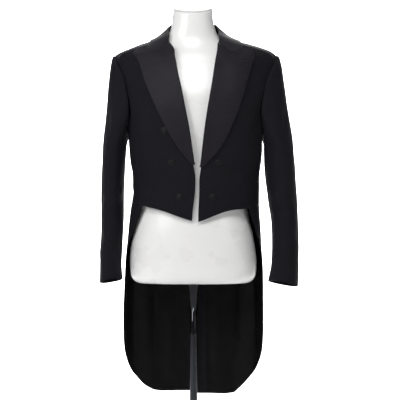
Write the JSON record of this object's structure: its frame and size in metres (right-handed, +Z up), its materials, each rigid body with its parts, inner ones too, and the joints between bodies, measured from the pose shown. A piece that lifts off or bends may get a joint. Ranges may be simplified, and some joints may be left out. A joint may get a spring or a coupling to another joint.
{
  "type": "white tie tailcoat on a limbless dress form with a pole stand",
  "caption": "Black tailcoat with silk peak lapels, front cut short at the waist and two long rounded tails, on a white limbless form with a pole and round base.",
  "frame": {"origin": "centre of the base plate's underside, on the pole's axis", "axes": "+Z up; the coat's front faces -Y; +X towards the wearer's left"},
  "size_m": [0.5531, 0.38, 1.4106],
  "materials": {
    "wool": "matt black wool barathea",
    "silk": "black silk satin with a soft sheen",
    "lining": "black satin lining",
    "form": "smooth white semi-gloss lacquer",
    "cap": "pale grey satin plastic",
    "chrome": "polished chrome plate",
    "base": "satin steel plate"
  },
  "bodies": {
    "root": {"forepart_left": "wool", "side_body_left": "wool", "back_left": "wool", "skirt_left": "wool", "top_sleeve_left": "wool", "under_sleeve_left": "wool", "tail_lining_left": "lining", "lapel_left": "silk", "front_button_left_1": "silk", "front_button_left_2": "silk", "front_button_left_3": "silk", "waist_button_left": "silk", "cuff_button_left_1": "silk", "cuff_button_left_2": "silk", "forepart_right": "wool", "side_body_right": "wool", "back_right": "wool", "skirt_right": "wool", "top_sleeve_right": "wool", "under_sleeve_right": "wool", "tail_lining_right": "lining", "lapel_right": "silk", "front_button_right_1": "silk", "front_button_right_2": "silk", "front_button_right_3": "silk", "waist_button_right": "silk", "cuff_button_right_1": "silk", "cuff_button_right_2": "silk", "collar_fall": "silk", "collar_stand": "wool", "form_torso": "form", "neck_cap": "cap", "stand_pole": "chrome", "stand_flange": "chrome", "stand_base": "base"}
  },
  "joints": []
}
